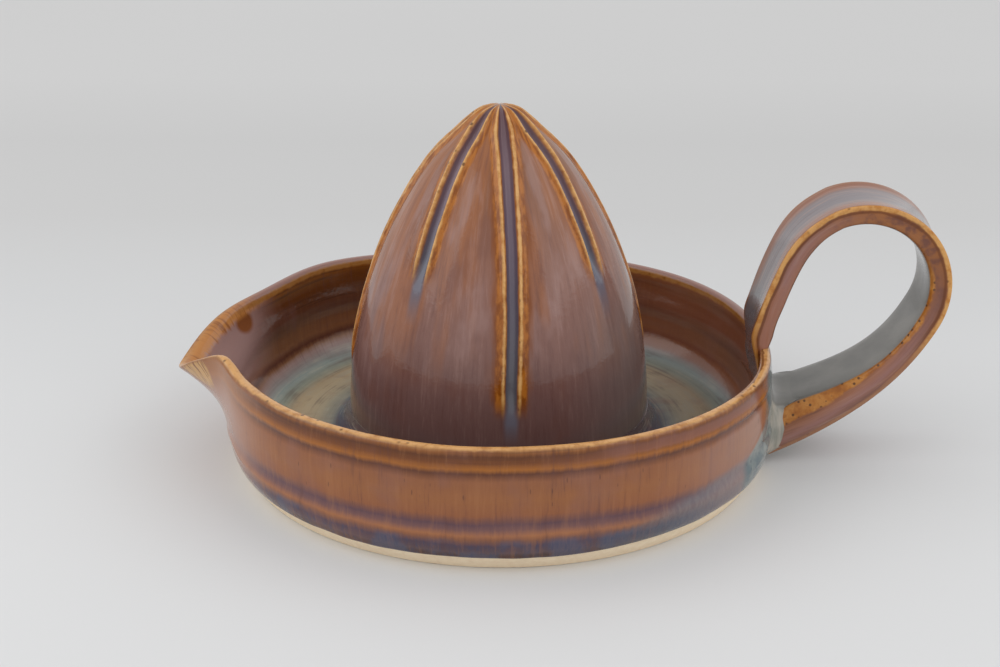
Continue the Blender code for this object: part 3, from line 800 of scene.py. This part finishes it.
COIL_SIZE = 6.0 * MM
COIL_STEPS = 24
COIL_COLUMNS = 192
foot_radius = cone[0][0]
coil_outline = [(foot_radius - 1.2 * MM, REAMER_BASE, 0.0)]
for step in range(COIL_STEPS + 1):
    turn = math.pi / 2 * step / COIL_STEPS
    coil_outline.append((
        foot_radius + COIL_SIZE * (1.0 - math.sin(turn)) + 0.1 * MM,
        FLOOR_THICKNESS - 0.12 * MM + COIL_SIZE * (1.0 - math.cos(turn)),
        0.0,
    ))
coil_outline.append((foot_radius - 1.2 * MM, coil_outline[-1][1], 0.0))
coil_outline.append(coil_outline[0])
reamer_coil, _ = turn_on_wheel("reamer_luting_coil_clay", coil_outline, COIL_COLUMNS)
reamer_coil.data.flip_normals()     # its outermost face is the feathered edge, which misleads
rows, marks = [], []
for vertex in reamer_coil.data.vertices:
    around = math.atan2(vertex.co.y, vertex.co.x)
    radius = math.hypot(vertex.co.x, vertex.co.y)
    marks.append(floor_mark - (FLOOR_RADIUS - radius) - (vertex.co.z - FLOOR_THICKNESS))
    rows.append(flow_of(around, WALL_RADIUS, marks[-1]))
    vertex.co.x -= REAMER_OFFSET
store(reamer_coil, "from_rim", [mark / MM for mark in marks])
store_flow(reamer_coil, rows)
finish_piece(reamer_coil, "reamer_luting_coil", (dish_glaze,))


# The handle: a strap pulled by hand from a carrot of clay, bent into a loop, its upper end lapped
# inside the rim and its lower end set on the wall. It is hollow along its outer face.

STRAP_WIDTH = 19.0 * MM
STRAP_TAPER = 1.0 * MM
STRAP_THICKNESS = 5.5 * MM
STRAP_DISHING = 0.6 * MM
BEAD_RISE = 0.30 * MM          # the rolled bead along each edge of the outer face
BEAD_WIDTH = 0.85 * MM
BEAD_GROOVE = 0.20 * MM        # and the lines beside it
STRAP_SKEW = 2.8
ROOT_THICKNESS = 11.2 * MM
ROOT_LENGTH = 34.0 * MM
ROOT_WIDTH = 21.0 * MM
LOOP_RADIUS = 18.4 * MM
LOOP_REACH = 19.4 * MM
LOOP_RISE = 15.3 * MM
LOOP_ANGLES = (158.0, -28.0)
BEND_SOFTENING = 40            # how often the bend into the loop is evened out
LAP_LENGTH = 10.0 * MM
LAP_THICKNESS = 0.6 * MM
LAP_PULL = 16.0 * MM
LAP_FADE = 0.35
LAP_SPREAD = 3.0 * MM          # how much wider the lap is smeared on each side
INNER_FILL = (0.4 * MM, 0.4, 1.44)  # clay thumbed on to the leg's inner face, and where it lies
OUTER_FILL = (0.45 * MM, 0.27, 0.17)   # and on its outer face, over the rim
LOWER_ROOT_HEIGHT = 7.1 * MM
LOWER_ROOT_SLOPE = 25.0
LOWER_ROOT_BEDDING = 0.6
STRAP_STATIONS = 200
LEG_STATIONS = STRAP_STATIONS // 4
SECTION_POINTS = 96


def bezier(start, start_pull, end_pull, end, steps):
    points = []
    for step in range(steps + 1):
        t = step / steps
        s = 1.0 - t
        pulls = start_pull * 3 * s * s * t + end_pull * 3 * s * t * t
        points.append(start * s ** 3 + pulls + end * t ** 3)
    return points


def handle_path():
    """The strap's middle line in the XZ plane, from the lap inside the rim to the lower root."""
    centre = Vector((WALL_RADIUS + LOOP_REACH, RIM_HEIGHT + LOOP_RISE))
    first, last = LOOP_ANGLES
    loop = []
    for step in range(STRAP_STATIONS // 2 + 1):
        angle = math.radians(lerp(first, last, step * 2 / STRAP_STATIONS))
        loop.append(centre + LOOP_RADIUS * Vector((math.cos(angle), math.sin(angle))))
    inner_rim = WALL_RADIUS - LIP_INSET - LIP_THICKNESS - HANDLE_PULL[0]
    lap_end = Vector((inner_rim, RIM_HEIGHT - LAP_LENGTH))
    leave = (loop[0] - loop[1]).normalized()
    lap_pull = lap_end + Vector((0.0, LAP_PULL))
    upper = bezier(lap_end, lap_pull, loop[0] + leave * LAP_LENGTH, loop[0], LEG_STATIONS)
    slope = math.radians(LOWER_ROOT_SLOPE)
    root = Vector((WALL_RADIUS - WALL_THICKNESS * LOWER_ROOT_BEDDING, LOWER_ROOT_HEIGHT))
    arrive = Vector((math.cos(slope), math.sin(slope)))
    depart = (loop[-1] - loop[-2]).normalized()
    pulls = (loop[-1] + depart * LOOP_RADIUS, root + arrive * LOOP_RADIUS)
    lower = bezier(loop[-1], *pulls, root, LEG_STATIONS)
    points = upper[:-1] + loop + lower[1:]
    for _ in range(BEND_SOFTENING):
        for index in range(STRAP_STATIONS // 10, STRAP_STATIONS * 3 // 8):
            beside = points[index - 1] + points[index + 1]
            points[index] = points[index] * 0.5 + beside * 0.25
    return points


def root_swell(x):
    """1 where the strap meets the wall, 0 where it is even."""
    return smooth_step(1.0 - (x - WALL_RADIUS) / ROOT_LENGTH)


def draw_bar(name, steps):
    """A round bar on end, 1 m to a step, with each ring ready to be set in its place."""
    deselect_all()
    bpy.ops.mesh.primitive_circle_add(vertices=SECTION_POINTS, radius=1.0, fill_type="NGON")
    bar = bpy.context.object
    bar.name = bar.data.name = name
    bpy.ops.object.mode_set(mode="EDIT")
    for _ in range(steps):
        bpy.ops.mesh.extrude_region_move(TRANSFORM_OT_translate={"value": (0.0, 0.0, 1.0)})
    bpy.ops.mesh.select_all(action="SELECT")
    bpy.ops.mesh.normals_make_consistent(inside=False)
    bpy.ops.object.mode_set(mode="OBJECT")
    return bar


def strap_section(turn, width, thickness, dishing):
    """A point of the strap's section, as across and outwards, and its distance to each edge."""
    c, s = math.cos(turn), math.sin(turn)
    away = math.copysign(abs(s) ** (1.0 / 3.0), s)
    half = width / 2 - STRAP_TAPER * (0.5 - 0.5 * away)
    x = math.copysign(abs(c) ** (1.0 / 3.0), c) * half
    y = away * thickness / 2
    to_outer = (half - abs(x) if y > 0.0 else 0.0) - (thickness / 2 - y)
    to_inner = (half - abs(x) if y < 0.0 else 0.0) - (thickness / 2 + y)
    if away > 0.0:
        y -= dishing * (1.0 - (min(1.0, abs(x) / (half - BEAD_WIDTH * 1.6))) ** 3)
        depth = min(1.0, dishing / STRAP_DISHING)
        bead = BEAD_RISE * bump(to_outer, BEAD_WIDTH)
        bead -= BEAD_GROOVE * bump(to_outer + BEAD_WIDTH * 2.3, BEAD_WIDTH * 0.6)
        x += math.copysign(bead * depth, x)
        y += bead * depth * (to_outer > -BEAD_WIDTH)
    return x, y, to_outer, to_inner


path = handle_path()
handle = draw_bar("juicer_handle", len(path) - 1)
stations = [0.0]
for before, after in zip(path, path[1:]):
    stations.append(stations[-1] + (after - before).length)
outer_edge, inner_edge, rows = [], [], []
for vertex in handle.data.vertices:
    index = round(vertex.co.z)
    turn = math.atan2(vertex.co.y, vertex.co.x)
    before, after = path[max(index - 1, 0)], path[min(index + 1, len(path) - 1)]
    along = (after - before).normalized()
    outward = Vector((-along.y, along.x))
    up_leg = index / LEG_STATIONS
    lap = smooth_step(up_leg / LAP_FADE)
    swell = root_swell(path[index].x) if index >= len(path) - LEG_STATIONS else 0.0
    thickness = lerp(LAP_THICKNESS, STRAP_THICKNESS, lap)
    thickness += (ROOT_THICKNESS - STRAP_THICKNESS) * swell
    width = lerp(STRAP_WIDTH, ROOT_WIDTH, swell) + 2 * LAP_SPREAD * (1.0 - lap) ** 2
    x, y, to_outer, to_inner = strap_section(turn, width, thickness, STRAP_DISHING * lap)
    feather = math.sqrt(max(0.0, 1.0 - (2 * x / width) ** 2))
    y *= 1.0 - (1.0 - feather) * (1.0 - lap)
    if y < 0.0:
        fill, start, end = INNER_FILL
        y -= fill * smooth_step((up_leg - start) / 0.24) * smooth_step((end - up_leg) / 0.32)
    else:
        y += hump(OUTER_FILL, up_leg)
    lean = math.tan(math.radians(STRAP_SKEW)) * lap
    hand = noise.noise(Vector((index * 0.045, math.copysign(1.0, x), 0.0))) * 0.25 * MM
    cling = (WALL_RADIUS - math.sqrt(WALL_RADIUS ** 2 - x ** 2)) * (1.0 - lap)
    cling -= LAP_THICKNESS * (2 * x / width) ** 2 * (1.0 - lap)
    vertex.co = Vector((
        path[index].x + outward.x * y + x * lean - cling,
        x + hand * lap,
        path[index].y + outward.y * y + x * lean,
    ))
    outer_edge.append(to_outer / MM)
    inner_edge.append(to_inner / MM)
    rows.append((x / MM, y / MM, stations[index] / MM))
store(handle, "to_outer", outer_edge)
store(handle, "to_inner", inner_edge)
store_flow(handle, rows)


def grey_pool(place):
    """The smooth grey of thick glaze, on the inner face and on the collar."""
    cloud = place.noise(90.0, 3.0).step(0.35, 0.65)
    return cloud.between((122, 120, 116), (138, 135, 130))


recipe = Recipe("handle_glaze")
place = recipe.place()
to_outer = recipe.read("to_outer")
to_inner = recipe.read("to_inner")
flow = recipe.read("flow", "Vector")
length_along = flow.part(2)
wander = (flow.noise((0.1, 0.12), 3.0) - 0.5) * 1.2
outer_seen = to_outer + wander
inner_seen = to_inner + wander * 0.6
colour = ((outer_seen + 6.0) / 12.0).ramp(
    (0.04, (140, 88, 60)), (0.12, (156, 106, 84)), (0.26, (150, 108, 100)), (0.34, (140, 94, 76)),
    (0.372, (110, 58, 24)), (0.4, (164, 106, 44)), (0.455, (182, 126, 62)), (0.51, (174, 116, 56)),
    (0.545, (138, 86, 52)), (0.6, (138, 84, 54)), (0.7, (140, 87, 62)), (0.8, (138, 96, 80)),
    (0.9, (130, 112, 110)), (1.0, (124, 116, 120)),
)
fade = length_along.step(104.0, 88.0)
low_side = (1.0 - fade) * outer_seen.step(-2.8, -1.6)
colour = colour.mix(low_side * 0.8, (136, 98, 88))
colour = run_glaze(colour, flow, (104, 70, 62), 0.6, (176, 142, 126), 0.4)
orange = flow.noise((0.3, 0.05)).step(0.5, 0.64) * 0.5 * to_outer.step(0.0, -1.5)
colour = colour.mix(orange, (160, 100, 66))
on_side = outer_seen.step(0.3, -0.6)
over_top = abs(length_along - 66.0).step(30.0, 8.0) * on_side
spots = place.noise(260.0, 3.0, 0.6)
top_colour = spots.step(0.46, 0.66).between((158, 97, 42), (108, 63, 46))
colour = colour.mix(over_top * 0.8, top_colour)
right_side = length_along.step(68.0, 84.0)
burnt = right_side * fade * on_side
colour = colour.mix(burnt * 0.4, (104, 60, 40))
bead = (abs(to_outer + 0.55) + (spots - 0.5) * 1.2).step(1.0, 0.35)
bead = bead * place.part(1).step(0.008, -0.004)
bead = bead * fade.between(0.15, 1.0) * length_along.step(11.0, 21.0)
colour = colour.mix(bead, thin_edge(place, (214, 160, 94), (180, 115, 48)))
under_bead = abs(outer_seen + 1.75).step(0.5, 0.15) * fade
colour = colour.mix(under_bead * 0.7, (104, 54, 22))
lap_share = (length_along + wander * 3.0).step(24.0, 17.0) * 0.85 * to_outer.step(0.6, 2.4)
colour = colour.mix(lap_share, (98, 102, 108))
tan_reach = length_along.step(106.0, 140.0) * 4.0 + right_side * 0.75 + 0.4
tan_band = (inner_seen + tan_reach + (spots - 0.5) * 2.4).step(-0.4, 0.4)
band_colour = spots.ramp(
    (0.3, (140, 78, 26)), (0.48, (174, 108, 42)), (0.6, (190, 128, 60)), (0.72, (150, 86, 30)),
)
band_colour = band_colour.mix(place.specks(760.0, 0.34, 0.45) * 0.8, DARK_SPECK)
colour = colour.mix(tan_band, right_side.between((118, 72, 44), band_colour))
colour = colour.mix(inner_seen.step(0.1, 0.8), grey_pool(place))
handle_glaze = recipe.glossy(colour)
finish_piece(handle, "handle", (handle_glaze,))


# The handle's luting coil: a collar of soft clay worked round the strap's lower root on to the
# wall. It is smoothed to nothing on both, and the glaze pools on it in blue-green grey.

COLLAR_LENGTH = (3.1 * MM, 8.0 * MM, 8.0 * MM)   # beside the strap, over it and under it
COLLAR_FLARE = 3.6 * MM
COLLAR_STEP = 0.5 * MM         # the smoothed edge that stands on the strap's sides
COLLAR_BEDDING = 0.8 * MM      # how far the collar starts inside the wall's face
COLLAR_BOTTOM = 1.0 * MM
COLLAR_RINGS = 32
leg_path = path[-1 - LEG_STATIONS:]


def point_on_wall(across, height):
    """The place on the dish's outer wall under the handle, this far off its middle."""
    reach = outer_radius(height)
    around = math.asin(across / reach)
    return press_dish(Vector((reach * math.cos(around), across, height)))


collar = draw_bar("handle_collar", COLLAR_RINGS + 2)
for vertex in collar.data.vertices:
    ring = round(vertex.co.z) - 1
    turn = math.atan2(vertex.co.y, vertex.co.x)
    sweep = math.pi / 2 * min(1.0, max(0.0, ring / COLLAR_RINGS))
    over, under = smooth_step(math.sin(turn) * 2 - 0.9), smooth_step(-math.sin(turn) * 2 - 0.9)
    beside, above, below = COLLAR_LENGTH
    length = beside + (above - beside) * over + (below - beside) * under
    stand = length * (1.0 - math.cos(sweep)) - COLLAR_BEDDING * (ring < 0)
    x = WALL_RADIUS + stand
    after, before = next(
        pair for pair in zip(leg_path, leg_path[1:]) if pair[1].x <= x <= pair[0].x
    )
    middle = before.lerp(after, (x - before.x) / (after.x - before.x))
    upright = (after - before).length / (after.x - before.x)
    swell = root_swell(x)
    extra = COLLAR_FLARE * (1.0 - math.sin(sweep))
    sides = (1.0 - over) * (1.0 - under)
    extra += COLLAR_STEP * sides * smooth_step(sweep) if ring <= COLLAR_RINGS else -0.6 * MM
    extra -= COLLAR_STEP * over * smooth_step(sweep)
    thickness = lerp(STRAP_THICKNESS, ROOT_THICKNESS, swell) * upright
    width = lerp(STRAP_WIDTH, ROOT_WIDTH, swell)
    across, up = strap_section(-turn, width + extra * 2, thickness + extra * 2, 0.0)[:2]
    up = -up + across * math.tan(math.radians(STRAP_SKEW))
    squash = min(1.0, (middle.y - COLLAR_BOTTOM) / (thickness / 2 + extra)) if up < 0 else 1.0
    height = middle.y + up * squash
    vertex.co = Vector((point_on_wall(across, height).x + stand, across, height))

recipe = Recipe("collar_glaze")
place = recipe.place()
y_place, z_place = place.part(1), place.part(2)
cloud = place.noise(160.0, 3.0).mix(0.6, place.noise((500.0, 70.0), 3.0, 0.6))
colour = cloud.step(0.38, 0.62).between((138, 139, 130), (188, 179, 167))
colour = colour.mix(y_place.step(-0.0118, -0.014), (96, 114, 112))
on_top = abs(y_place).step(0.0105, 0.009) * z_place.step(0.006, 0.009)
collar_glaze = recipe.glossy(colour.mix(on_top, grey_pool(place)))
finish_piece(collar, "handle_luting_coil", (collar_glaze,))


# The photograph's table and light: a seamless pale grey sheet under an even white tent, with a
# soft box at each side, and the camera a little above the rim.

deselect_all()
bpy.ops.mesh.primitive_plane_add(size=6.0)
table = bpy.context.object
table.name = "table"
recipe = Recipe("backdrop_paper")
place = recipe.place()
paper_grain = place.noise(3.0)
# Painted shade and light: the sheet's colour is graded along its depth, lighter in front, darker in
# a band behind the juicer and lighter again far back, for the way the light falls off along it.
colour = place.part(1).rise(-0.06, 0.74).ramp(
    (0.0, (223, 224, 225)), (0.11, (219, 220, 221)), (0.21, (211, 212, 213)),
    (0.33, (204, 204, 204)), (0.48, (204, 204, 204)), (0.66, (213, 213, 213)),
    (0.82, (216, 216, 216)), (1.0, (219, 219, 219)),
)
colour = colour.mix(paper_grain * 0.2, (205, 205, 205))
table.data.materials.append(recipe.finish(colour, 0.9, paper_grain, 0.0))

world = bpy.data.worlds.new("studio")
bpy.context.scene.world = world
world.use_nodes = True
sky = world.node_tree.nodes["Background"]
rays = world.node_tree.nodes.new("ShaderNodeLightPath")
tone = world.node_tree.nodes.new("ShaderNodeMix")
tone.data_type = "RGBA"
world.node_tree.links.new(rays.outputs["Is Camera Ray"], tone.inputs[0])
tone.inputs[6].default_value = (0.79, 0.79, 0.79, 1.0)
tone.inputs[7].default_value = fired((205, 206, 206))
world.node_tree.links.new(tone.outputs[2], sky.inputs["Color"])


def soft_box(name, azimuth, elevation, distance, width, height, power):
    """A square lamp that looks at the juicer. Azimuth 0 is behind the camera, 90 the handle's."""
    light = bpy.data.lights.new(name, "AREA")
    light.shape = "RECTANGLE"
    light.size, light.size_y, light.energy = width, height, power
    lamp = bpy.data.objects.new(name, light)
    bpy.context.scene.collection.objects.link(lamp)
    turn, rise = math.radians(azimuth), math.radians(elevation)
    direction = Vector((
        math.sin(turn) * math.cos(rise),
        -math.cos(turn) * math.cos(rise),
        math.sin(rise),
    ))
    lamp.location = direction * distance
    lamp.rotation_euler = direction.to_track_quat("Z", "Y").to_euler()


soft_box("left_soft_box", -78.0, 38.0, 0.9, 0.9, 0.7, 1.95)
soft_box("right_soft_box", 74.0, 38.0, 0.9, 0.9, 0.7, 1.55)

CAMERA_PLACE = (-0.000189, -0.344988, 0.160902)
CAMERA_TILT = 20.81
CAMERA_ROLL = 0.226
camera_data = bpy.data.cameras.new("camera")
camera_data.lens = 54.0
camera_data.sensor_width = 36.0
camera = bpy.data.objects.new("camera", camera_data)
bpy.context.scene.collection.objects.link(camera)
camera.location = CAMERA_PLACE
tilt = Matrix.Rotation(math.radians(90.0 - CAMERA_TILT), 4, "X")
camera.rotation_euler = (tilt @ Matrix.Rotation(math.radians(CAMERA_ROLL), 4, "Z")).to_euler()
bpy.context.scene.camera = camera
bpy.context.scene.view_settings.view_transform = "Standard"
